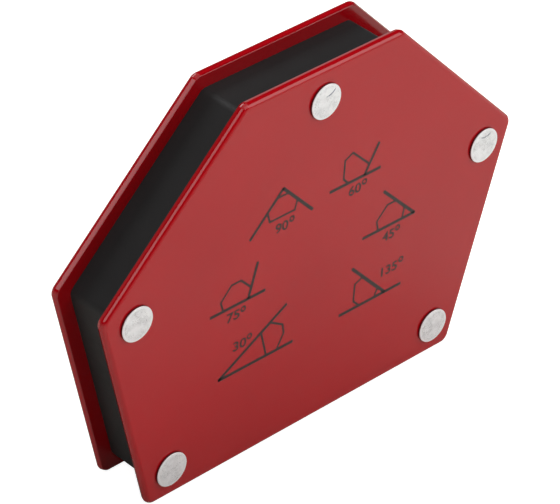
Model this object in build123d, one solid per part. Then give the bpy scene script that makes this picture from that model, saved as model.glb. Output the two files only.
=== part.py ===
from build123d import *
import math
import os

# Welding magnet holder with six working edges.  Two steel pole plates are riveted over a
# moulded frame that keeps six ferrite blocks apart.  The blocks are magnetised through
# their thickness, so the edges of one plate are north poles and those of the other south.
#
# X runs along the base edge, Y from the front plate to the rear plate and Z up.
# The origin is the middle of the base edge, halfway between the plates.  Millimetres.

# Plates: a six-sided outline that is the same on the left and on the right
WIDTH = 135.0  # between the sharp corners of the shoulders
HEIGHT = 103.2  # from the base edge to the top edge
BASE_EDGE = 102.3  # between the sharp corners of the base
SIDE_ANGLE = 75.0  # of the side edges to the base; the upper edges lie at 45 degrees
THICKNESS = 18.8  # over both plates
PLATE = 2.5  # steel sheet
CORNER_RADIUS = 2.7
OUTER_ROUNDING = 1.5  # lacquered rim of a plate's outer face
INNER_BREAK = 0.4  # small bevel round the face that lies on the frame

# Rivets: three through the top and the shoulders, two through the base corners
RIVET_SHANK = 5.0
RIVET_HEAD = 9.3
RIVET_HEAD_HEIGHT = 0.8
RIVET_BEVEL = 0.3
TOP_RIVET = (0.0, 94.3)
SHOULDER_RIVET = (57.2, 57.6)
BASE_RIVET = (44.4, 8.4)
PUNCHED_HOLE = 5.1
MOULDED_HOLE = 5.4

# Ferrite blocks, in two columns and three rows
BLOCK_WIDTH = 38.0
BLOCK_HEIGHT = 20.0
BLOCK_CORNER = 1.0
LOWEST_ROW = 24.6  # height of the middle of the lowest blocks

# Moulded frame
FRAME_INSET = 4.0  # from the plate's edge to the frame's wall
FRAME_CORNER = 2.6
FRAME_WALL = 2.4
RIB = 1.6
BOSS = 11.0
GUSSET = 2.8  # square, set on its corner, that thickens the ribs where they cross
SMALLEST_CELL = 20.0  # square millimetres; smaller gaps between ribs are filled
POCKET_PLAY = 0.3  # round each block
CRUSH_RIB = 0.38  # square set on its corner, so that it reaches almost to the block

# Worked out from the driving dimensions
side_rise = (WIDTH - BASE_EDGE) / 2 * math.tan(math.radians(SIDE_ANGLE))
top_edge = WIDTH - 2 * (HEIGHT - side_rise)
core = THICKNESS - 2 * PLATE
pocket_width = BLOCK_WIDTH + 2 * POCKET_PLAY
pocket_height = BLOCK_HEIGHT + 2 * POCKET_PLAY
cell_width = (pocket_width + RIB) / 3  # a pocket takes the room of three cells by two
cell_height = (pocket_height + RIB) / 2

rivet_places = {
    "rivet_top": TOP_RIVET,
    "rivet_left_shoulder": (-SHOULDER_RIVET[0], SHOULDER_RIVET[1]),
    "rivet_right_shoulder": SHOULDER_RIVET,
    "rivet_left_base": (-BASE_RIVET[0], BASE_RIVET[1]),
    "rivet_right_base": BASE_RIVET,
}

block_places = {}
for row, level in enumerate(("lower", "middle", "upper")):
    for side, hand in ((-1, "left"), (1, "right")):
        place = (side * 1.5 * cell_width, LOWEST_ROW + 2 * row * cell_height)
        block_places[f"magnet_{level}_{hand}"] = place


def outline(inset, corner):
    """The holder's six-sided outline, drawn in by an inset, with rounded corners."""
    right_side = [(BASE_EDGE / 2, 0), (WIDTH / 2, side_rise), (top_edge / 2, HEIGHT)]
    left_side = [(-x, z) for x, z in reversed(right_side)]
    sharp = Polygon(*right_side, *left_side)
    if inset > 0:
        sharp = offset(sharp, -inset, kind=Kind.INTERSECTION)
    return fillet(sharp.vertices(), corner)


def front_plate():
    """A punched steel plate, more rounded on its outer rim than on its inner one."""
    holes = Sketch() + [Pos(x, z) * Circle(PUNCHED_HOLE / 2) for x, z in rivet_places.values()]
    inner_plane = Plane.XZ.offset(core / 2)
    plate = extrude(inner_plane * outline(0, CORNER_RADIUS), PLATE)
    plate = fillet(plate.faces().sort_by(Axis.Y)[0].edges(), OUTER_ROUNDING)
    plate = chamfer(plate.faces().sort_by(Axis.Y)[-1].edges(), INNER_BREAK)
    return plate - extrude(inner_plane * holes, PLATE)


def crush_ribs(x, z):
    """Small pointed ribs on a pocket's walls that centre its block."""
    places = [(0, pocket_height / 2), (pocket_width / 2, 0)]
    places += [(cell_width, pocket_height / 2), (-cell_width, pocket_height / 2)]
    rib = Rectangle(CRUSH_RIB, CRUSH_RIB, rotation=45)
    return [Pos(x + side * u, z + side * v) * rib for u, v in places for side in (-1, 1)]


def open_cells():
    """The frame's empty cells: what the wall, ribs, bosses and block pockets leave free."""
    hollow = outline(FRAME_INSET + FRAME_WALL, FRAME_CORNER / 2)
    middle = Pos(0, LOWEST_ROW + 2 * cell_height)
    solid = [middle * Pos(i * cell_width, 0) * Rectangle(RIB, 2 * HEIGHT) for i in range(-3, 4)]
    solid += [middle * Pos(0, i * cell_height) * Rectangle(WIDTH, RIB) for i in range(-3, 4)]
    crossings = GridLocations(cell_width, cell_height, 7, 7)
    solid += [middle * spot * Rectangle(GUSSET, GUSSET, rotation=45) for spot in crossings]
    solid += [Pos(x, z) * Circle(BOSS / 2) for x, z in rivet_places.values()]
    walled_pocket = Rectangle(pocket_width + 2 * RIB, pocket_height + 2 * RIB)
    solid += [Pos(x, z) * walled_pocket for x, z in block_places.values()]
    return (hollow - solid).faces().filter_by(lambda cell: cell.area > SMALLEST_CELL)


def spacer_frame():
    """The moulded frame: a wall, five bosses, and ribs that leave cells and six pockets."""
    pocket = Rectangle(pocket_width, pocket_height)
    pockets = [Pos(x, z) * pocket - crush_ribs(x, z) for x, z in block_places.values()]
    holes = [Pos(x, z) * Circle(MOULDED_HOLE / 2) for x, z in rivet_places.values()]
    section = outline(FRAME_INSET, FRAME_CORNER) - open_cells() - pockets - holes
    return extrude(Plane.XZ * section, core / 2, both=True)


def ferrite_block():
    """A pressed block, ground flat on the two faces that touch the plates."""
    section = Rectangle(BLOCK_WIDTH, BLOCK_HEIGHT)
    section = chamfer(section.vertices(), BLOCK_CORNER)
    return extrude(Plane.XZ * section, core / 2, both=True)


def rivet():
    """A solid rivet along Y, with a low head that a flat punch has pressed on each plate."""
    seat = THICKNESS / 2
    top = seat + RIVET_HEAD_HEIGHT
    head = RIVET_HEAD / 2
    shank = RIVET_SHANK / 2
    half = [(0, top), (head - RIVET_BEVEL, top), (head, top - RIVET_BEVEL), (head, seat)]
    half.append((shank, seat))
    other_half = [(x, -y) for x, y in reversed(half)]
    return revolve(make_face(Polyline(*half, *other_half, close=True)), Axis.Y)


front = front_plate()
nodes = {"front_plate": front, "rear_plate": mirror(front, Plane.XZ)}
nodes["spacer_frame"] = spacer_frame()
for name, (x, z) in block_places.items():
    nodes[name] = Pos(x, 0, z) * ferrite_block()
for name, (x, z) in rivet_places.items():
    nodes[name] = Pos(x, 0, z) * rivet()

os.makedirs("parts", exist_ok=True)
for name, solid in nodes.items():
    export_step(solid, f"parts/{name}.step")
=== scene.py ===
import math

import bmesh
import bpy
from bpy.props import FloatProperty, FloatVectorProperty, IntProperty, PointerProperty
from bpy.types import Operator, Panel, PropertyGroup
from mathutils import Matrix, Vector


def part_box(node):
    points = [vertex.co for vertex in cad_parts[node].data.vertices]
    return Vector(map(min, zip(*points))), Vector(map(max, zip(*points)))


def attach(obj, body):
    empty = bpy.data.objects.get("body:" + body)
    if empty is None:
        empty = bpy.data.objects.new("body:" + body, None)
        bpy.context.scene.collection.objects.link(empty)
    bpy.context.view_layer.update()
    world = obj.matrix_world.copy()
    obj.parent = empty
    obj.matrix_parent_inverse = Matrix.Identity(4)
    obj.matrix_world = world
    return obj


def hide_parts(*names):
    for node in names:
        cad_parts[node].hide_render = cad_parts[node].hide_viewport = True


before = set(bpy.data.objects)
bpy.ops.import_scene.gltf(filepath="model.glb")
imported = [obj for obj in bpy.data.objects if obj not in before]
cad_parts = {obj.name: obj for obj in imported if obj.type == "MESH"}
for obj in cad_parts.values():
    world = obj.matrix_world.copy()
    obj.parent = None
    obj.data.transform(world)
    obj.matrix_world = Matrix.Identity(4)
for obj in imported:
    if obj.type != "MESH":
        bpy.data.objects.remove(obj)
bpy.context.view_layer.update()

bl_info = {
    "name": "Welding Magnet Holder",
    "version": (1, 0, 0),
    "blender": (4, 5, 0),
    "location": "View3D > Sidebar > Magnet Holder",
    "description": "Lacquered pole plates, moulded spacer, ferrite blocks, rivets and printed angle signs",
    "category": "Object",
}

MM = 0.001
HALF_THICKNESS = -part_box("front_plate")[0].y
CORE_HALF = -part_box("front_plate")[1].y
RIVETS = ("rivet_top", "rivet_left_shoulder", "rivet_right_shoulder", "rivet_left_base", "rivet_right_base")
BLOCKS = [f"magnet_{level}_{hand}" for level in ("lower", "middle", "upper") for hand in ("left", "right")]

# Steps of the rounded shapes.
CORNER_STEPS = 8
OUTER_RIM_STEPS = 12
INNER_RIM_STEPS = 6
HOLE_STEPS = 40
DOME_STEPS = 8
HEAD_RIM_STEPS = 6
RING_STEPS = 32
DIGIT_STEPS = 6

SAME_POINT = 1e-7  # points closer than this are merged
ON_THE_FACE = 1e-6  # rim points closer than this to a plate's face are laid in it
PLATE_SHARP_ANGLE = math.radians(40)
RIVET_SHARP_ANGLE = math.radians(50)
WIDEST_BAND = 0.00006  # straight part of a plate's edge, between its two rims
LOWER_HEAD_RIM = (0.00008, 0.00006)  # inset and height of the break at the foot of a rivet head

# Orange peel of the lacquer, and the painted shade that darkens its inner faces in the trench between the
# plates.
PEEL_SIZE, PEEL_HEIGHT = 0.0016, 0.0000045
RIPPLE_SIZE, RIPPLE_HEIGHT = 0.009, 0.00001
INNER_FACE_SHADE = 0.7

# Dark scars of the worn punch: the rivet, the scar's circle as its centre from the rivet's and its
# radius, and the middle of the scar from the rivet's.
WORN_ARCS = (("rivet_top", (-0.0002, 0.0052), 0.0037, (0.0013, 0.0018)),
             ("rivet_right_shoulder", (0.0, 0.0062), 0.0036, (0.0002, 0.0027)))
SCAR_WIDTH = (0.00006, 0.00024)
SCAR_REACH = (0.0012, 0.0019)
SCAR_TONE = (0.10, 0.13, 0.20, 1)
# The dark red on a head's low side is a painted reflection of the red plate, with painted shade where the
# head meets the plate.
HEAD_SIDE_PAINTED_SHADE_AND_REFLECTION = (0.07, 0.003, 0.006, 1)
CLEAN_RIM = (0.0006, 0.00045)  # from the head's edge: where the worn middle ends and where the rim starts
HEAD_TOP = (0.00044, 0.0005)  # above the plate: where a head's dark side ends and where its bright top starts

LINE_FILM = 1.2  # the workpiece lines are printed this much thicker and lie above the outlines
DEGREE_STROKE = 0.25  # of the degree sign's diameter
MITRE_LIMIT = 0.5

# Softboxes: name, its glow's setting, direction and distance from the holder's middle, width and height.
HOLDER_MIDDLE = Vector((0, 0, 0.05))
SOFTBOXES = (
    ("right softbox", "right_glow", (0.583, -0.638, 0.503), 1.05, 0.66, 0.7),
    ("left softbox", "left_glow", (-0.69, -0.22, 0.69), 0.8, 0.56, 0.28),
    ("front fill", "fill_glow", (0.1, -0.6, 0.79), 0.42, 0.3, 0.3),
    ("back softbox", "back_glow", (0, 0.75, 0.66), 0.9, 0.5, 0.4),
    ("overhead softbox", "overhead_glow", (0, 0.0001, 1.0), 1.0, 0.9, 0.9),
)

FLOOR_RADIUS = 6
FLOOR_STEPS = 64
FLOOR_DROP = 0.0001
# The shaded oval at the holder's foot: the mapping that makes it round, and where its shade starts and ends.
SHADE_PLACE, SHADE_SCALE, SHADE_EDGE = (0.25, -0.25, 0), (7, 10, 1), (0.3, 1.1)
HORIZON_GLOW = 0.65
HORIZON_FADE = (-0.02, 0.24)
SEEN_ROOM = 0.97
SENSOR_WIDTH = 36
CLIP = (0.01, 50)


# ---------------------------------------------------------------- settings


class PlateSettings(PropertyGroup):
    """The two lacquered pole plates."""

    width: FloatProperty(
        name="Width", description="Between the sharp corners of the shoulders",
        default=0.135, min=0.05, max=0.3, unit="LENGTH")
    height: FloatProperty(
        name="Height", description="From the base edge to the top edge",
        default=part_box("front_plate")[1].z, min=0.05, max=0.3, unit="LENGTH")
    base_edge: FloatProperty(
        name="Base Edge", description="Between the sharp corners of the base",
        default=0.1023, min=0.03, max=0.3, unit="LENGTH")
    side_angle: FloatProperty(
        name="Side Angle", description="Of the side edges to the base",
        default=math.radians(75), min=math.radians(60), max=math.radians(90), subtype="ANGLE")
    corner_radius: FloatProperty(
        name="Corner Radius", description="Of the outline's six corners",
        default=0.0027, min=0.0005, max=0.01, unit="LENGTH")
    outer_rounding: FloatProperty(
        name="Outer Rounding", description="Radius that the punch draws in round the outer face",
        default=0.0014, min=0.0001, max=0.0018, unit="LENGTH")
    break_angle: FloatProperty(
        name="Break Angle", description="Slope of the edge where the sheet broke behind the punch",
        default=math.radians(20), min=0, max=math.radians(30), subtype="ANGLE")
    inner_rounding: FloatProperty(
        name="Inner Rounding", description="Tumbled rim of the inner face",
        default=0.00028, min=0.0001, max=0.0006, unit="LENGTH")
    hole: FloatProperty(
        name="Punched Hole", description="Diameter of the five rivet holes",
        default=0.0051, min=0.002, max=0.008, unit="LENGTH")
    lacquer: FloatVectorProperty(
        name="Lacquer", description="Deep red stoving lacquer",
        default=(0.45, 0.0018, 0.0062), min=0, max=1, size=3, subtype="COLOR")


class SpacerSettings(PropertyGroup):
    """The black moulded frame between the plates."""

    plastic: FloatVectorProperty(
        name="Plastic", description="Black moulding",
        default=(0.0155, 0.0152, 0.0156), min=0, max=1, size=3, subtype="COLOR")
    grain: FloatProperty(
        name="Grain", description="Size of the spark-eroded texture",
        default=0.0004, min=0.0001, max=0.003, unit="LENGTH")


class FerriteSettings(PropertyGroup):
    """The six ferrite blocks inside the frame."""

    ceramic: FloatVectorProperty(
        name="Ceramic", description="Dark grey pressed ferrite",
        default=(0.045, 0.045, 0.05), min=0, max=1, size=3, subtype="COLOR")


class RivetSettings(PropertyGroup):
    """The five rivets with pressed heads."""

    head: FloatProperty(
        name="Head", description="Diameter of a head",
        default=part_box("rivet_top")[1].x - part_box("rivet_top")[0].x, min=0.004, max=0.02, unit="LENGTH")
    shank: FloatProperty(
        name="Shank", description="Diameter of the shank",
        default=0.005, min=0.002, max=0.01, unit="LENGTH")
    dome: FloatProperty(
        name="Dome", description="How far the middle of a head stands above its rim",
        default=0.0001, min=0, max=0.001, unit="LENGTH")
    rim: FloatProperty(
        name="Rim Rounding", description="Rounding of the head's upper rim",
        default=0.00016, min=0.00005, max=0.0005, unit="LENGTH")
    turns: IntProperty(
        name="Steps", description="Steps of the lathed shape", default=96, min=24, max=256)
    metal: FloatVectorProperty(
        name="Metal", description="Bright aluminium",
        default=(0.975, 0.985, 1.0), min=0, max=1, size=3, subtype="COLOR")


class SignSettings(PropertyGroup):
    """The printed signs that show the angles between the working edges."""

    work_line: FloatProperty(
        name="Workpiece Line", description="Width of the lines that stand for the workpieces",
        default=0.00084, min=0.0002, max=0.002, unit="LENGTH")
    tool_line: FloatProperty(
        name="Tool Line", description="Width of the outline that stands for the holder",
        default=0.00054, min=0.0001, max=0.002, unit="LENGTH")
    digits: FloatProperty(
        name="Digits", description="Height of the digits",
        default=0.00262, min=0.001, max=0.01, unit="LENGTH")
    weight: FloatProperty(
        name="Digit Weight", description="How far the digits' edges are moved outwards to make them bolder",
        default=0.00006, min=0, max=0.0002, unit="LENGTH")
    degree: FloatProperty(
        name="Degree Sign", description="Outer diameter of the small ring after the digits",
        default=0.00175, min=0.0005, max=0.004, unit="LENGTH")
    film: FloatProperty(
        name="Film", description="Thickness of the printed ink",
        default=0.00003, min=0.00001, max=0.0002, unit="LENGTH")
    ink: FloatVectorProperty(
        name="Ink", description="Black screen-printing ink",
        default=(0.018, 0.013, 0.012), min=0, max=1, size=3, subtype="COLOR")


class StageSettings(PropertyGroup):
    """Floor, lights and camera."""

    floor: FloatVectorProperty(
        name="Floor", description="Pale floor",
        default=(0.88, 0.86, 0.80), min=0, max=1, size=3, subtype="COLOR")
    foot: FloatProperty(
        name="Foot Shade", description="How much of the floor's tone is left at the holder's foot",
        default=0.62, min=0, max=1, subtype="FACTOR")
    table_glow: FloatProperty(
        name="Table Glow", description="Light that comes up through the table",
        default=0.12, min=0, max=2)
    table_glow_seen: FloatProperty(
        name="Seen Table Glow", description="The same as the camera sees it",
        default=0.93, min=0, max=2)
    room: FloatProperty(
        name="Room", description="Brightness of the room above the table", default=0.02, min=0, max=2)
    left_glow: FloatProperty(
        name="Left Softbox", description="Brightness of the left softbox",
        default=2.3, min=0, max=20)
    right_glow: FloatProperty(
        name="Right Softbox", description="Brightness of the right softbox", default=2.5, min=0, max=20)
    overhead_glow: FloatProperty(
        name="Overhead Softbox", description="Brightness of the softbox above",
        default=0.8, min=0, max=20)
    back_glow: FloatProperty(
        name="Back Softbox", description="Brightness of the softbox behind the holder",
        default=4.0, min=0, max=20)
    fill_glow: FloatProperty(
        name="Front Fill", description="Brightness of the small softbox above the front",
        default=1.65, min=0, max=20)
    target: FloatVectorProperty(
        name="Target", description="Point the camera looks at",
        default=(-0.0019, 0.00014, 0.04688), size=3, subtype="TRANSLATION", unit="LENGTH")
    azimuth: FloatProperty(
        name="Azimuth", description="Of the camera, from the front towards the right",
        default=math.radians(-45.82), subtype="ANGLE")
    elevation: FloatProperty(
        name="Elevation", description="Of the camera above the horizon",
        default=math.radians(35.57), subtype="ANGLE")
    roll: FloatProperty(
        name="Roll", description="Of the camera about its axis",
        default=math.radians(3.565), subtype="ANGLE")
    distance: FloatProperty(
        name="Distance", description="From the camera to its target",
        default=0.8649, min=0.2, max=10, unit="LENGTH")
    lens: FloatProperty(
        name="Lens", description="Focal length of the camera",
        default=232.03, min=20, max=500, subtype="DISTANCE_CAMERA")


def sizes(name):
    """The settings of one group of pieces."""
    return getattr(bpy.context.scene, "holder_" + name)


# ---------------------------------------------------------------- mesh helpers


def finish_piece(bm, name, material, smooth=True):
    """Turns a finished bmesh into a piece of the object that rides on its only body."""
    mesh = bpy.data.meshes.new(name)
    bm.to_mesh(mesh)
    bm.free()
    if smooth:
        mesh.polygons.foreach_set("use_smooth", [True] * len(mesh.polygons))
    mesh.materials.append(material)
    piece = bpy.data.objects.new(name, mesh)
    bpy.context.scene.collection.objects.link(piece)
    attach(piece, "root")
    return piece


def extrude(bm, faces, vec):
    """Pulls flat faces out into a closed slab."""
    made = bmesh.ops.extrude_face_region(bm, geom=faces, use_keep_orig=True)
    bmesh.ops.translate(bm, verts=[v for v in made["geom"] if isinstance(v, bmesh.types.BMVert)], vec=vec)


def weighted_normals(piece):
    """Keeps flat faces flat while their rounded rims are shaded smoothly."""
    piece.data.set_sharp_from_angle(angle=PLATE_SHARP_ANGLE)
    modifier = piece.modifiers.new("Flat faces", "WEIGHTED_NORMAL")
    modifier.keep_sharp = True
    modifier.weight = 100
    modifier.mode = "FACE_AREA"


# ---------------------------------------------------------------- node helpers


class Shader:
    """A material's node tree, built from left to right."""

    def __init__(self, name):
        self.material = bpy.data.materials.new(name)
        self.material.use_nodes = True
        self.nodes = self.material.node_tree.nodes
        self.links = self.material.node_tree.links
        self.nodes.clear()
        self.out = self.add("ShaderNodeOutputMaterial")
        self.coordinates = None

    def add(self, kind, inputs=None, **settings):
        node = self.nodes.new(kind)
        for key, value in settings.items():
            setattr(node, key, value)
        for key, value in (inputs or {}).items():
            self.put(node.inputs[key], value)
        return node

    def put(self, socket, value):
        if isinstance(value, bpy.types.NodeSocket):
            self.links.new(value, socket)
        else:
            socket.default_value = value

    def position(self):
        if self.coordinates is None:
            self.coordinates = self.add("ShaderNodeTexCoord").outputs["Object"]
        return self.coordinates

    def coordinate(self, axis):
        return self.add("ShaderNodeSeparateXYZ", {"Vector": self.position()}).outputs[axis]

    def mapped(self, location=(0, 0, 0), scale=(1, 1, 1)):
        inputs = {"Vector": self.position(), "Location": location, "Scale": scale}
        return self.add("ShaderNodeMapping", inputs).outputs["Vector"]

    def distance(self, vector, point):
        inputs = {0: vector, 1: point}
        return self.add("ShaderNodeVectorMath", inputs, operation="DISTANCE").outputs["Value"]

    def noise(self, size, detail=2, roughness=0.5, vector=None, distortion=0):
        """Noise whose blobs are about as wide as size, in metres."""
        inputs = {"Vector": vector or self.position(), "Scale": 1 / size, "Detail": detail,
                  "Roughness": roughness, "Distortion": distortion}
        return self.add("ShaderNodeTexNoise", inputs).outputs["Fac"]

    def span(self, value, low, high, to_low=0, to_high=1, smooth=False):
        kind = "SMOOTHSTEP" if smooth else "LINEAR"
        inputs = {"Value": value, "From Min": low, "From Max": high, "To Min": to_low, "To Max": to_high}
        return self.add("ShaderNodeMapRange", inputs, interpolation_type=kind, clamp=True).outputs["Result"]

    def math(self, operation, first, second=0.0):
        return self.add("ShaderNodeMath", {0: first, 1: second}, operation=operation).outputs["Value"]

    def product(self, first, *others):
        for other in others:
            first = self.math("MULTIPLY", first, other)
        return first

    def band(self, value, middle, inner, outer):
        """1 where value is nearer to middle than inner, falling to 0 at outer."""
        away = self.math("ABSOLUTE", self.math("SUBTRACT", value, middle))
        return self.span(away, inner, outer, 1, 0)

    def blend(self, factor, first, second):
        node = self.add("ShaderNodeMix", data_type="RGBA")
        self.put(node.inputs["Factor"], factor)
        self.put(node.inputs["A"], first)
        self.put(node.inputs["B"], second)
        return node.outputs["Result"]

    def bump(self, height, distance, strength=1.0, normal=None):
        inputs = {"Height": height, "Distance": distance, "Strength": strength}
        if normal is not None:
            inputs["Normal"] = normal
        return self.add("ShaderNodeBump", inputs).outputs["Normal"]

    def principled(self, **inputs):
        named = {key.replace("_", " "): value for key, value in inputs.items()}
        node = self.add("ShaderNodeBsdfPrincipled", named)
        self.links.new(node.outputs["BSDF"], self.out.inputs["Surface"])


def colour(rgb, factor=1.0):
    """A colour made lighter or darker by factor, as a colour socket takes it."""
    return (*(channel * factor for channel in rgb), 1.0)


# ---------------------------------------------------------------- materials


def lacquer_material():
    """Red stoving lacquer: smooth and glossy, with a faint orange peel, and painted shade darkening the inner
    faces in the trench between the plates.
    """
    red = tuple(sizes("plates").lacquer)
    s = Shader("red stoving lacquer")
    cloud = s.span(s.noise(0.03, 2), 0.3, 0.7)
    body = s.blend(cloud, colour(red, 0.96), colour(red, 1.04))
    from_middle = s.math("ABSOLUTE", s.coordinate("Y"))
    # Painted shade: the inner faces and their rims, down in the trench between the plates, are darkened.
    body = s.blend(s.span(from_middle, CORE_HALF + 0.0001, CORE_HALF + 0.0006), colour(red, INNER_FACE_SHADE), body)
    peel = s.noise(PEEL_SIZE, 1, 0.4)
    ripple = s.noise(RIPPLE_SIZE, 1, 0.4)
    surface = s.bump(peel, PEEL_HEIGHT)
    surface = s.bump(ripple, RIPPLE_HEIGHT, 1.0, surface)
    gloss = s.span(s.noise(0.012, 3, 0.6), 0.3, 0.7, 0.055, 0.085)
    s.principled(Base_Color=body, Roughness=gloss, IOR=1.5, Normal=surface)
    return s.material


def moulding_material():
    """Black satin moulding with a fine spark-eroded grain."""
    settings = sizes("spacer")
    black = tuple(settings.plastic)
    s = Shader("black satin moulding")
    grain = s.noise(settings.grain, 3, 0.6)
    cloud = s.span(s.noise(0.02, 2), 0.3, 0.7)
    body = s.blend(cloud, colour(black, 0.9), colour(black, 1.15))
    sheen = s.span(s.noise(0.006, 3), 0.3, 0.7, 0.54, 0.62)
    surface = s.bump(grain, 0.00001)
    s.principled(Base_Color=body, Roughness=sheen, IOR=1.5, Specular_IOR_Level=0.32, Normal=surface)
    return s.material


def ferrite_material():
    """Pressed ferrite: dark grey, with fine pores and faint grinding lines."""
    dark = tuple(sizes("ferrite").ceramic)
    s = Shader("pressed ferrite")
    pores = s.add("ShaderNodeTexVoronoi", {"Vector": s.position(), "Scale": 1400.0}).outputs["Distance"]
    lines = s.noise(0.0004, 2, 0.5, s.mapped(scale=(0.04, 1, 1)))
    body = s.blend(s.span(s.noise(0.004, 4), 0.3, 0.7), colour(dark, 0.8), colour(dark, 1.3))
    surface = s.bump(s.span(pores, 0.0, 0.4), 0.00002, 0.6)
    surface = s.bump(lines, 0.00001, 0.5, surface)
    s.principled(Base_Color=body, Roughness=s.span(lines, 0.3, 0.7, 0.45, 0.65), IOR=1.6, Normal=surface)
    return s.material


def rivet_material():
    """Bright aluminium pressed by a worn punch: a clean rim, blotches, creases with painted shade, scars, and
    sides with a painted reflection of the red plate and painted shade.
    """
    settings = sizes("rivets")
    metal = tuple(settings.metal)
    centres = dict(zip(RIVETS, rivet_centres()))
    s = Shader("pressed aluminium")
    flat = s.mapped(scale=(1, 0, 1))
    y = s.coordinate("Y")
    near = None
    for x, z in centres.values():
        away = s.distance(flat, (x, 0, z))
        near = away if near is None else s.math("MINIMUM", near, away)
    worn_edge, rim_edge = (settings.head / 2 - inset for inset in CLEAN_RIM)
    inside = s.span(near, worn_edge, rim_edge, 1, 0)
    blotch = s.noise(0.0022, 3, 0.6)
    body = s.blend(s.span(blotch, 0.42, 0.68), colour(metal), colour(metal, 0.84))
    # The creases are bumped in as shallow grooves, and their darkening in colour is painted shade in the
    # grooves.
    crease_and_shade = s.band(s.noise(0.0009, 4, 0.65, distortion=1.5), 0.5, 0.004, 0.022)
    crease_and_shade = s.product(crease_and_shade, s.span(s.noise(0.0035, 2), 0.44, 0.54))
    body = s.blend(s.product(crease_and_shade, 0.85), body, colour(metal, 0.36))
    for rivet, (x, z), radius, (scar_x, scar_z) in WORN_ARCS:
        centre_x, centre_z = centres[rivet]
        circle = s.distance(flat, (centre_x + x, 0, centre_z + z))
        scar = s.distance(flat, (centre_x + scar_x, 0, centre_z + scar_z))
        arc = s.product(s.band(circle, radius, *SCAR_WIDTH),
                        s.span(scar, *SCAR_REACH, 1, 0),
                        s.span(s.noise(0.0007, 3, 0.7), 0.32, 0.5, 0.2, 1),
                        s.math("LESS_THAN", y, 0.0))
        body = s.blend(arc, body, SCAR_TONE)
    body = s.blend(inside, colour(metal), body)
    # Painted reflection and shade: below HEAD_TOP the head's side takes the dark red of the plate it
    # reflects.
    top = s.span(s.math("ABSOLUTE", y), *(HALF_THICKNESS + height for height in HEAD_TOP))
    body = s.blend(top, HEAD_SIDE_PAINTED_SHADE_AND_REFLECTION, body)
    surface = s.bump(blotch, 0.00004, 0.5)
    surface = s.bump(s.product(crease_and_shade, inside), -0.00001, 0.8, surface)
    worn = s.span(blotch, 0.3, 0.7, 0.36, 0.48)
    s.principled(Base_Color=body, Metallic=0.35, Roughness=worn, Normal=surface)
    return s.material


def ink_material():
    """Screen-printed ink: nearly black, matt, with thin spots."""
    ink = tuple(sizes("signs").ink)
    s = Shader("screen-printed ink")
    thin = s.span(s.noise(0.0009, 3, 0.6), 0.45, 0.75)
    body = s.blend(thin, colour(ink), colour((ink[0] * 2.2, ink[1] * 1.6, ink[2] * 1.6)))
    s.principled(Base_Color=body, Roughness=0.42, IOR=1.48, Normal=s.bump(s.noise(0.0003, 2), 0.000006))
    return s.material


# ---------------------------------------------------------------- plates


def add_outline(bm, settings, y):
    """The six-sided outline as one face in a plane of constant y, with rounded corners."""
    half_base, half_width = settings.base_edge / 2, settings.width / 2
    rise = (half_width - half_base) * math.tan(settings.side_angle)
    half_top = half_width - (settings.height - rise)
    right = [(half_base, 0), (half_width, rise), (half_top, settings.height)]
    points = right + [(-x, z) for x, z in reversed(right)]
    face = bm.faces.new([bm.verts.new((x, y, z)) for x, z in points])
    for vert, angle in [(loop.vert, loop.calc_angle()) for loop in face.loops]:
        tangent = settings.corner_radius * math.tan((math.pi - angle) / 2)
        bmesh.ops.bevel(bm, geom=[vert], offset=tangent, offset_type="OFFSET", affect="VERTICES",
                        segments=CORNER_STEPS, profile=0.5, material=-1)
    return bm.faces[:]


def rivet_centres():
    """Where the rivets stand in the plates' plane."""
    centres = []
    for name in RIVETS:
        low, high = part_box(name)
        centres.append(((low.x + high.x) / 2, (low.z + high.z) / 2))
    return centres


def fill_flat(bm, y, hole):
    """Fills the open loop of rim edges at y and leaves the five round holes."""
    rim = [e for e in bm.edges if e.is_boundary and all(abs(v.co.y - y) < SAME_POINT for v in e.verts)]
    rings = []
    for x, z in rivet_centres():
        place = Matrix.Translation((x, y, z)) @ Matrix.Rotation(math.pi / 2, 4, "X")
        made = bmesh.ops.create_circle(bm, cap_ends=False, segments=HOLE_STEPS, radius=hole / 2, matrix=place)
        rings.append(list({e for v in made["verts"] for e in v.link_edges}))
    edges = rim + [e for ring in rings for e in ring]
    bmesh.ops.triangle_fill(bm, use_beauty=True, use_dissolve=False, edges=edges, normal=(0, 1, 0))
    return rings


def rim_steps(settings, thickness):
    """The punched edge from its widest line: (inset, rise) steps to the outer and to the inner face."""
    round_in, broken = settings.outer_rounding, settings.break_angle
    outer = [(0.0, 0.0)]
    for step in range(1, OUTER_RIM_STEPS + 1):
        turn = math.pi / 2 * step / OUTER_RIM_STEPS
        outer.append((round_in * (1 - math.cos(turn)), round_in * math.sin(turn)))
    radius = settings.inner_rounding
    slope = thickness - WIDEST_BAND - round_in - radius * (1 - math.sin(broken))
    inner = [(0.0, 0.0), (slope * math.tan(broken), slope)]
    for step in range(1, INNER_RIM_STEPS + 1):
        turn = broken + (math.pi / 2 - broken) * step / INNER_RIM_STEPS
        inner.append((inner[1][0] + radius * (math.cos(broken) - math.cos(turn)),
                      slope + radius * (math.sin(turn) - math.sin(broken))))
    return outer, inner


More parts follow.
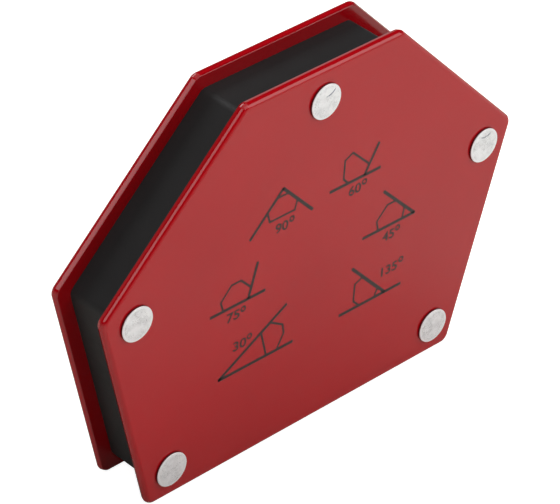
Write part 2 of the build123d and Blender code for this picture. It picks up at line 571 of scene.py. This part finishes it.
def plate_mesh(side):
    """A punched and lacquered sheet. side is -1 in front and 1 behind; its rounded side faces outwards."""
    settings = sizes("plates")
    outer, inner = side * HALF_THICKNESS, side * CORE_HALF
    widest = outer - side * settings.outer_rounding
    bm = bmesh.new()
    faces = add_outline(bm, settings, widest)
    extrude(bm, faces, (0, -side * WIDEST_BAND, 0))
    bmesh.ops.recalc_face_normals(bm, faces=bm.faces)
    caps = [f for f in bm.faces if abs(f.normal.y) > 0.9]
    caps.sort(key=lambda f: side * f.calc_center_median().y)
    inner_steps, outer_steps = reversed(rim_steps(settings, abs(outer - inner)))
    for cap, steps in zip(caps, (inner_steps, outer_steps)):
        for (inset, rise), (next_inset, next_rise) in zip(steps, steps[1:]):
            bmesh.ops.inset_region(bm, faces=[cap], thickness=next_inset - inset, depth=next_rise - rise,
                                   use_even_offset=True, use_boundary=True)
    bmesh.ops.delete(bm, geom=caps, context="FACES_ONLY")
    for v in bm.verts:
        for face_y in (outer, inner):
            if abs(v.co.y - face_y) < ON_THE_FACE:
                v.co.y = face_y
    outer_rings = fill_flat(bm, outer, settings.hole)
    inner_rings = fill_flat(bm, inner, settings.hole)
    for front, back in zip(outer_rings, inner_rings):
        bmesh.ops.bridge_loops(bm, edges=front + back)
    bmesh.ops.recalc_face_normals(bm, faces=bm.faces)
    return bm


class HOLDER_OT_pole_plates(Operator):
    """Make the two lacquered pole plates"""

    bl_idname = "holder.pole_plates"
    bl_label = "Pole Plates"

    def execute(self, context):
        material = lacquer_material()
        for side, node in ((-1, "front_plate"), (1, "rear_plate")):
            piece = finish_piece(plate_mesh(side), "lacquered_" + node, material)
            weighted_normals(piece)
            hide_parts(node)
        return {"FINISHED"}


# ---------------------------------------------------------------- spacer and blocks


class HOLDER_OT_spacer(Operator):
    """Give the moulded frame its black satin finish"""

    bl_idname = "holder.spacer"
    bl_label = "Moulded Frame"

    def execute(self, context):
        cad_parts["spacer_frame"].material_slots[0].material = moulding_material()
        return {"FINISHED"}


class HOLDER_OT_ferrite_blocks(Operator):
    """Give the six ferrite blocks their pressed and ground finish"""

    bl_idname = "holder.ferrite_blocks"
    bl_label = "Ferrite Blocks"

    def execute(self, context):
        material = ferrite_material()
        for name in BLOCKS:
            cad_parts[name].material_slots[0].material = material
        return {"FINISHED"}


# ---------------------------------------------------------------- rivets


def rivet_mesh(x, z):
    """A rivet lathed about an axis along y: shank, and a low head with a rounded rim on each side."""
    settings = sizes("rivets")
    head, shank, rim = settings.head / 2, settings.shank / 2, settings.rim
    top = -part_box("rivet_top")[0].y
    shoulder = top - settings.dome
    flat = head - rim
    half = []
    for step in range(DOME_STEPS + 1):
        share = step / DOME_STEPS
        half.append((flat * share, shoulder + settings.dome * (1 - share * share)))
    for step in range(1, HEAD_RIM_STEPS + 1):
        turn = math.pi / 2 * step / HEAD_RIM_STEPS
        half.append((flat + rim * math.sin(turn), shoulder - rim * (1 - math.cos(turn))))
    inset, height = LOWER_HEAD_RIM
    half += [(head, HALF_THICKNESS + height), (head - inset, HALF_THICKNESS), (shank, HALF_THICKNESS)]
    profile = half + [(r, -y) for r, y in reversed(half)]
    bm = bmesh.new()
    verts = [bm.verts.new((r, y, 0)) for r, y in profile]
    edges = [bm.edges.new(pair) for pair in zip(verts, verts[1:])]
    bmesh.ops.spin(bm, geom=verts + edges, cent=(0, 0, 0), axis=(0, 1, 0), angle=2 * math.pi,
                   steps=settings.turns, use_merge=True)
    bmesh.ops.remove_doubles(bm, verts=bm.verts, dist=SAME_POINT)
    bmesh.ops.recalc_face_normals(bm, faces=bm.faces)
    bmesh.ops.translate(bm, verts=bm.verts, vec=(x, 0, z))
    return bm


class HOLDER_OT_rivets(Operator):
    """Make the five rivets with their pressed heads"""

    bl_idname = "holder.rivets"
    bl_label = "Rivets"

    def execute(self, context):
        material = rivet_material()
        for name, (x, z) in zip(RIVETS, rivet_centres()):
            piece = finish_piece(rivet_mesh(x, z), "pressed_" + name, material)
            piece.data.set_sharp_from_angle(angle=RIVET_SHARP_ANGLE)
            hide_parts(name)
        return {"FINISHED"}


# ---------------------------------------------------------------- printed signs

# Each sign in millimetres on the front face: the workpiece lines, the outline of the holder
# between them, the label's lower left corner and width, and the centre of its degree sign.
SIGNS = {
    "90": dict(
        lines=[((-22.0, 64.5), (-11.75, 75.0)), ((-11.95, 75.0), (-1.6, 64.4))],
        outline=[(-15.75, 67.0), (-7.65, 67.0), (-6.9, 69.85), (-9.95, 72.85), (-13.4, 72.9), (-16.6, 69.9)],
        label=(-13.6, 62.6, 4.0), degree=(-8.4, 64.8)),
    "60": dict(
        lines=[((3.8, 66.75), (20.9, 66.75)), ((15.35, 66.75), (19.75, 74.45))],
        outline=[(9.9, 66.85), (15.4, 66.85), (16.7, 69.5), (10.9, 75.1), (8.35, 73.9), (8.3, 68.6)],
        label=(10.5, 62.6, 3.95), degree=(15.6, 64.8)),
    "75": dict(
        lines=[((-33.7, 47.65), (-15.9, 47.65)), ((-21.45, 47.65), (-18.9, 57.2))],
        outline=[(-29.5, 47.7), (-21.4, 47.7), (-20.6, 50.6), (-24.1, 54.15), (-27.2, 54.15), (-30.4, 50.55)],
        label=(-28.1, 43.4, 4.0), degree=(-22.9, 45.4)),
    "45": dict(
        lines=[((16.4, 47.6), (34.5, 47.6)), ((34.1, 47.6), (22.7, 58.8))],
        outline=[(21.75, 47.7), (30.0, 47.7), (30.6, 50.75), (27.5, 54.1), (24.4, 54.1), (21.05, 50.6)],
        label=(23.6, 43.3, 3.95), degree=(28.7, 45.5)),
    "30": dict(
        lines=[((-30.0, 27.45), (-5.5, 27.45)), ((-30.0, 27.4), (-8.3, 39.95))],
        outline=[(-14.4, 27.55), (-10.9, 27.55), (-8.75, 31.6), (-9.35, 34.3), (-13.4, 36.75), (-16.4, 35.0)],
        label=(-25.5, 33.85, 4.15), degree=(-20.3, 36.1)),
    "135": dict(
        lines=[((10.1, 27.45), (31.5, 27.45)), ((25.8, 27.45), (13.6, 40.0))],
        outline=[(16.9, 27.55), (22.2, 27.55), (23.2, 29.8), (17.5, 35.7), (15.0, 34.7), (14.9, 29.6)],
        label=(24.2, 32.65, 5.4), degree=(30.9, 35.0)),
}


def add_bar(bm, start, end, width):
    """A straight printed line as a flat strip in the plane y = 0."""
    a, b = Vector((start[0], 0, start[1])) * MM, Vector((end[0], 0, end[1])) * MM
    along = b - a
    turn = Matrix.Rotation(-math.atan2(along.z, along.x), 4, "Y")
    size = Matrix.Diagonal((along.length / 2, width / 2, width / 2, 1))
    place = Matrix.Translation((a + b) / 2) @ turn @ size
    flat = Matrix.Rotation(math.pi / 2, 4, "X")
    bmesh.ops.create_grid(bm, x_segments=1, y_segments=1, size=1, matrix=place @ flat)


def add_band(bm, points, width):
    """A closed outline of even width about its points, made by insetting its face."""
    corners = [bm.verts.new((x * MM, 0, z * MM)) for x, z in points]
    face = bm.faces.new(corners)
    bm.normal_update()
    bmesh.ops.inset_region(bm, faces=[face], thickness=width / 2, use_even_offset=True, use_boundary=True)
    bmesh.ops.delete(bm, geom=[face], context="FACES_ONLY")
    outer = [e for e in bm.edges if e.is_boundary and all(v in corners for v in e.verts)]
    for corner in {v for e in outer for v in e.verts}:
        inner = next(e.other_vert(corner) for e in corner.link_edges if e not in outer)
        corner.co += corner.co - inner.co


def add_ring(bm, centre, diameter, width):
    """The degree sign, a small ring in the plane y = 0."""
    place = Matrix.Translation((centre[0] * MM, 0, centre[1] * MM)) @ Matrix.Rotation(math.pi / 2, 4, "X")
    made = bmesh.ops.create_circle(bm, cap_ends=True, segments=RING_STEPS, radius=diameter / 2, matrix=place)
    face = made["verts"][0].link_faces[0]
    bm.normal_update()
    bmesh.ops.inset_region(bm, faces=[face], thickness=width, use_even_offset=True, use_boundary=True)
    bmesh.ops.delete(bm, geom=[face], context="FACES_ONLY")


def raise_film(bm, thickness):
    """Gives flat faces at y = 0 the thickness of printed ink, on the front face of the front plate."""
    bmesh.ops.recalc_face_normals(bm, faces=bm.faces)
    extrude(bm, bm.faces[:], (0, -thickness, 0))
    bmesh.ops.translate(bm, verts=bm.verts, vec=(0, -HALF_THICKNESS, 0))
    bmesh.ops.recalc_face_normals(bm, faces=bm.faces)


def embolden(bm, weight):
    """Moves the free edges of a flat mesh outwards in its plane."""
    outwards = {}
    for edge in bm.edges:
        if edge.is_boundary:
            loop = edge.link_loops[0]
            along = loop.link_loop_next.vert.co - loop.vert.co
            side = along.cross(loop.face.normal).normalized()
            for vert in edge.verts:
                outwards.setdefault(vert, []).append(side)
    for vert, sides in outwards.items():
        middle = (sides[0] + sides[-1]).normalized()
        vert.co += middle * weight / max(middle.dot(sides[0]), MITRE_LIMIT)


def label_mesh(text, place, height, weight):
    """Digits as a flat mesh in the plane y = 0. place is their lower left corner and width."""
    curve = bpy.data.curves.new("digits " + text, "FONT")
    curve.body = text
    curve.size = 1.0
    curve.resolution_u = DIGIT_STEPS
    holder = bpy.data.objects.new("digits " + text, curve)
    bpy.context.scene.collection.objects.link(holder)
    bpy.context.view_layer.update()
    mesh = bpy.data.meshes.new_from_object(holder.evaluated_get(bpy.context.evaluated_depsgraph_get()))
    bm = bmesh.new()
    bm.from_mesh(mesh)
    bpy.data.objects.remove(holder)
    bpy.data.curves.remove(curve)
    bpy.data.meshes.remove(mesh)
    low_x, high_x = min(v.co.x for v in bm.verts), max(v.co.x for v in bm.verts)
    low_y, high_y = min(v.co.y for v in bm.verts), max(v.co.y for v in bm.verts)
    scale = (place[2] * MM / (high_x - low_x), height / (high_y - low_y), 1)
    bmesh.ops.translate(bm, verts=bm.verts, vec=(-low_x, -low_y, 0))
    bmesh.ops.scale(bm, verts=bm.verts, vec=scale)
    bmesh.ops.remove_doubles(bm, verts=bm.verts, dist=SAME_POINT)
    bm.normal_update()
    embolden(bm, weight)
    bmesh.ops.rotate(bm, verts=bm.verts, cent=(0, 0, 0), matrix=Matrix.Rotation(math.pi / 2, 3, "X"))
    bmesh.ops.translate(bm, verts=bm.verts, vec=(place[0] * MM, 0, place[1] * MM))
    return bm


class HOLDER_OT_signs(Operator):
    """Print the six angle signs on the front plate"""

    bl_idname = "holder.signs"
    bl_label = "Printed Signs"

    def execute(self, context):
        settings = sizes("signs")
        material = ink_material()
        for angle, sign in SIGNS.items():
            bm = bmesh.new()
            for start, end in sign["lines"]:
                add_bar(bm, start, end, settings.work_line)
            raise_film(bm, settings.film * LINE_FILM)
            finish_piece(bm, f"sign_{angle}_lines", material, smooth=False)
            bm = bmesh.new()
            add_band(bm, sign["outline"], settings.tool_line)
            raise_film(bm, settings.film)
            finish_piece(bm, f"sign_{angle}_outline", material, smooth=False)
            bm = label_mesh(angle, sign["label"], settings.digits, settings.weight)
            add_ring(bm, sign["degree"], settings.degree, settings.degree * DEGREE_STROKE)
            raise_film(bm, settings.film)
            finish_piece(bm, f"sign_{angle}_digits", material, smooth=False)
        return {"FINISHED"}


# ---------------------------------------------------------------- stage


def soft_light(name, place, aim, width, height, glow):
    """A softbox whose face has the brightness glow."""
    data = bpy.data.lights.new(name, "AREA")
    data.shape = "RECTANGLE"
    data.size, data.size_y = width, height
    data.energy = glow * math.pi * width * height
    lamp = bpy.data.objects.new(name, data)
    bpy.context.scene.collection.objects.link(lamp)
    lamp.location = place
    lamp.rotation_mode = "QUATERNION"
    lamp.rotation_quaternion = (aim - place).to_track_quat("-Z", "Y")


def add_camera(settings):
    """A camera that looks at its target and is turned by roll about its axis."""
    azimuth, elevation, roll = settings.azimuth, settings.elevation, settings.roll
    back = Vector((math.sin(azimuth) * math.cos(elevation),
                   -math.cos(azimuth) * math.cos(elevation), math.sin(elevation)))
    level_right = (-back).cross(Vector((0, 0, 1))).normalized()
    level_up = level_right.cross(-back)
    right = level_right * math.cos(roll) + level_up * math.sin(roll)
    up = level_up * math.cos(roll) - level_right * math.sin(roll)
    data = bpy.data.cameras.new("Camera")
    data.lens = settings.lens
    data.sensor_width = SENSOR_WIDTH
    data.sensor_fit = "HORIZONTAL"
    data.clip_start, data.clip_end = CLIP
    camera = bpy.data.objects.new("Camera", data)
    bpy.context.scene.collection.objects.link(camera)
    camera.matrix_world = Matrix.Translation(Vector(settings.target) + back * settings.distance) @ Matrix(
        (right, up, back)).transposed().to_4x4()
    bpy.context.scene.camera = camera


def floor_material(settings):
    """A pale table, darker at the holder's foot. It glows faintly, and brightly as the camera sees it."""
    s = Shader("pale table")
    tone = tuple(settings.floor)
    seen = s.add("ShaderNodeLightPath").outputs["Is Camera Ray"]
    oval = s.mapped(location=SHADE_PLACE, scale=SHADE_SCALE)
    reach = s.add("ShaderNodeVectorMath", {0: oval}, operation="LENGTH").outputs["Value"]
    away = s.span(reach, *SHADE_EDGE, smooth=True)
    body = s.blend(s.noise(0.4, 2), colour(tone, 0.99), colour(tone, 1.01))
    body = s.blend(away, colour(tone, settings.foot), body)
    shaded = s.math("MULTIPLY", away, settings.table_glow)
    lit = s.add("ShaderNodeMix", {"Factor": seen, "A": shaded, "B": settings.table_glow_seen})
    glow = lit.outputs["Result"]
    s.principled(Base_Color=body, Roughness=0.8, Specular_IOR_Level=0.1,
                 Emission_Color=(1, 1, 1, 1), Emission_Strength=glow)
    return s.material


def studio_world(settings):
    """A room that is pale down at the table's edge and dark above it."""
    world = bpy.data.worlds.new("studio")
    world.use_nodes = True
    nodes, links = world.node_tree.nodes, world.node_tree.links
    direction = nodes.new("ShaderNodeTexCoord")
    parts = nodes.new("ShaderNodeSeparateXYZ")
    links.new(direction.outputs["Generated"], parts.inputs["Vector"])
    fade = nodes.new("ShaderNodeMapRange")
    fade.interpolation_type = "SMOOTHSTEP"
    links.new(parts.outputs["Z"], fade.inputs["Value"])
    fade.inputs["From Min"].default_value, fade.inputs["From Max"].default_value = HORIZON_FADE
    fade.inputs["To Min"].default_value, fade.inputs["To Max"].default_value = HORIZON_GLOW, settings.room
    path = nodes.new("ShaderNodeLightPath")
    seen = nodes.new("ShaderNodeMix")
    links.new(path.outputs["Is Camera Ray"], seen.inputs["Factor"])
    links.new(fade.outputs["Result"], seen.inputs["A"])
    seen.inputs["B"].default_value = SEEN_ROOM
    links.new(seen.outputs["Result"], nodes["Background"].inputs["Strength"])
    nodes["Background"].inputs["Color"].default_value = (1, 1, 1, 1)
    return world


class HOLDER_OT_stage(Operator):
    """Set up the pale floor, the soft lights and the camera"""

    bl_idname = "holder.stage"
    bl_label = "Stage"

    def execute(self, context):
        settings = sizes("stage")
        bm = bmesh.new()
        bmesh.ops.create_circle(bm, cap_ends=True, segments=FLOOR_STEPS, radius=FLOOR_RADIUS)
        mesh = bpy.data.meshes.new("floor")
        bm.to_mesh(mesh)
        bm.free()
        mesh.materials.append(floor_material(settings))
        floor = bpy.data.objects.new("floor", mesh)
        floor.location.z = -FLOOR_DROP
        bpy.context.scene.collection.objects.link(floor)

        for name, glow, direction, distance, width, height in SOFTBOXES:
            place = HOLDER_MIDDLE + Vector(direction) * distance
            soft_light(name, place, HOLDER_MIDDLE, width, height, getattr(settings, glow))
        context.scene.world = studio_world(settings)
        context.scene.view_settings.view_transform = "Standard"
        add_camera(settings)
        return {"FINISHED"}


# ---------------------------------------------------------------- panel and run


class HOLDER_PT_panel(Panel):
    """Lists the holder's pieces in the 3D view's sidebar"""

    bl_idname = "HOLDER_PT_panel"
    bl_label = "Welding Magnet Holder"
    bl_space_type = "VIEW_3D"
    bl_region_type = "UI"
    bl_category = "Magnet Holder"

    def draw(self, context):
        for group, (_, operator) in GROUPS.items():
            box = self.layout.box()
            box.operator(operator.bl_idname)
            settings = getattr(context.scene, "holder_" + group)
            for key in settings.__annotations__:
                box.prop(settings, key)


# For each group of pieces, its settings and the operator that makes it.
GROUPS = {
    "plates": (PlateSettings, HOLDER_OT_pole_plates),
    "spacer": (SpacerSettings, HOLDER_OT_spacer),
    "ferrite": (FerriteSettings, HOLDER_OT_ferrite_blocks),
    "rivets": (RivetSettings, HOLDER_OT_rivets),
    "signs": (SignSettings, HOLDER_OT_signs),
    "stage": (StageSettings, HOLDER_OT_stage),
}
CLASSES = [item for pair in GROUPS.values() for item in pair] + [HOLDER_PT_panel]


def register():
    for item in CLASSES:
        bpy.utils.register_class(item)
    for name, (settings, _) in GROUPS.items():
        setattr(bpy.types.Scene, "holder_" + name, PointerProperty(type=settings))


def unregister():
    for name in GROUPS:
        delattr(bpy.types.Scene, "holder_" + name)
    for item in reversed(CLASSES):
        bpy.utils.unregister_class(item)


def main():
    register()
    bpy.ops.holder.pole_plates()
    bpy.ops.holder.spacer()
    bpy.ops.holder.ferrite_blocks()
    bpy.ops.holder.rivets()
    bpy.ops.holder.signs()
    bpy.ops.holder.stage()
    bpy.context.view_layer.update()


if __name__ == "__main__":
    main()
